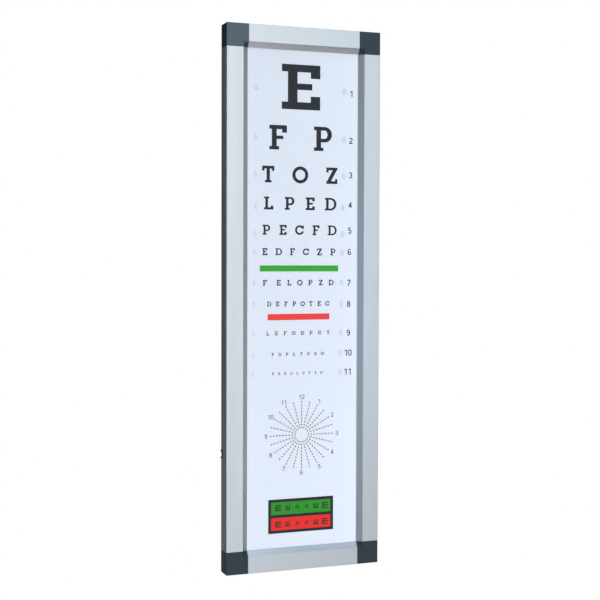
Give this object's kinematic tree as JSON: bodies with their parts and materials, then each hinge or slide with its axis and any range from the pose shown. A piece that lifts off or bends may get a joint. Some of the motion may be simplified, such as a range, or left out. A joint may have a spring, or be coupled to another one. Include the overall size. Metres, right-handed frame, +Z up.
{
  "type": "wall eye chart light box",
  "caption": "Slim wall-hung light box with a printed sight-test chart, snap-open metal rails and dark corner blocks.",
  "frame": {"origin": "centre of the back face that lies on the wall", "axes": "+Z up, -Y out of the chart towards the reader, +X to the reader's right"},
  "size_m": [0.267, 0.028, 0.884],
  "materials": {
    "snap_rail": "satin silver anodised",
    "base_rail": "satin silver anodised",
    "corner": "fine grain, moulded",
    "spring_steel": "blue-grey tempered",
    "back_panel": "galvanised sheet",
    "reflector": "white",
    "light_guide": "clear acrylic",
    "diffuser": "milky",
    "chart_film": "backlit film",
    "cover_sheet": "clear anti-glare",
    "black_ink": "matt",
    "grey_ink": "matt",
    "faint_ink": "matt",
    "green_ink": "matt",
    "red_ink": "matt",
    "led_board": "white solder mask",
    "led": "phosphor in clear resin",
    "wire": "insulated wire",
    "grommet": "soft",
    "terminal_block": "moulded nylon",
    "screw": "zinc plated",
    "hanger": "zinc plated"
  },
  "bodies": {
    "housing": {"left_base_rail": "base_rail", "right_base_rail": "base_rail", "top_base_rail": "base_rail", "bottom_base_rail": "base_rail", "top_left_corner": "corner", "top_right_corner": "corner", "bottom_left_corner": "corner", "bottom_right_corner": "corner", "left_rail_springs": "spring_steel", "right_rail_springs": "spring_steel", "top_rail_springs": "spring_steel", "bottom_rail_springs": "spring_steel", "back_panel": "back_panel", "reflector_sheet": "reflector", "light_guide": "light_guide", "diffuser_sheet": "diffuser", "chart_film": "chart_film", "cover_sheet": "cover_sheet", "black_print": "black_ink", "grey_print": "grey_ink", "faint_print": "faint_ink", "green_print": "green_ink", "red_print": "red_ink", "left_led_board": "led_board", "right_led_board": "led_board", "left_leds": "led", "right_leds": "led", "led_wiring": "wire", "cable_grommet": "grommet", "terminal_block": "terminal_block", "terminal_screws": "screw", "corner_screws": "screw", "back_panel_screws": "screw", "hanger_plates": "hanger", "hanger_rivets": "hanger"},
    "left_rail": {"left_snap_rail": "snap_rail"},
    "right_rail": {"right_snap_rail": "snap_rail"},
    "top_rail": {"top_snap_rail": "snap_rail"},
    "bottom_rail": {"bottom_snap_rail": "snap_rail"}
  },
  "joints": [
    {"name": "left_snap_hinge", "type": "hinge", "parent": "housing", "child": "left_rail", "pos_m": [-0.1304, -0.0248, 0], "axis": [0, 0, -1], "range_deg": [0, 95]},
    {"name": "right_snap_hinge", "type": "hinge", "parent": "housing", "child": "right_rail", "pos_m": [0.1304, -0.0248, 0], "axis": [0, 0, 1], "range_deg": [0, 95]},
    {"name": "top_snap_hinge", "type": "hinge", "parent": "housing", "child": "top_rail", "pos_m": [0, -0.0248, 0.4394], "axis": [-1, 0, 0], "range_deg": [0, 95]},
    {"name": "bottom_snap_hinge", "type": "hinge", "parent": "housing", "child": "bottom_rail", "pos_m": [0, -0.0248, -0.4394], "axis": [1, 0, 0], "range_deg": [0, 95]}
  ]
}
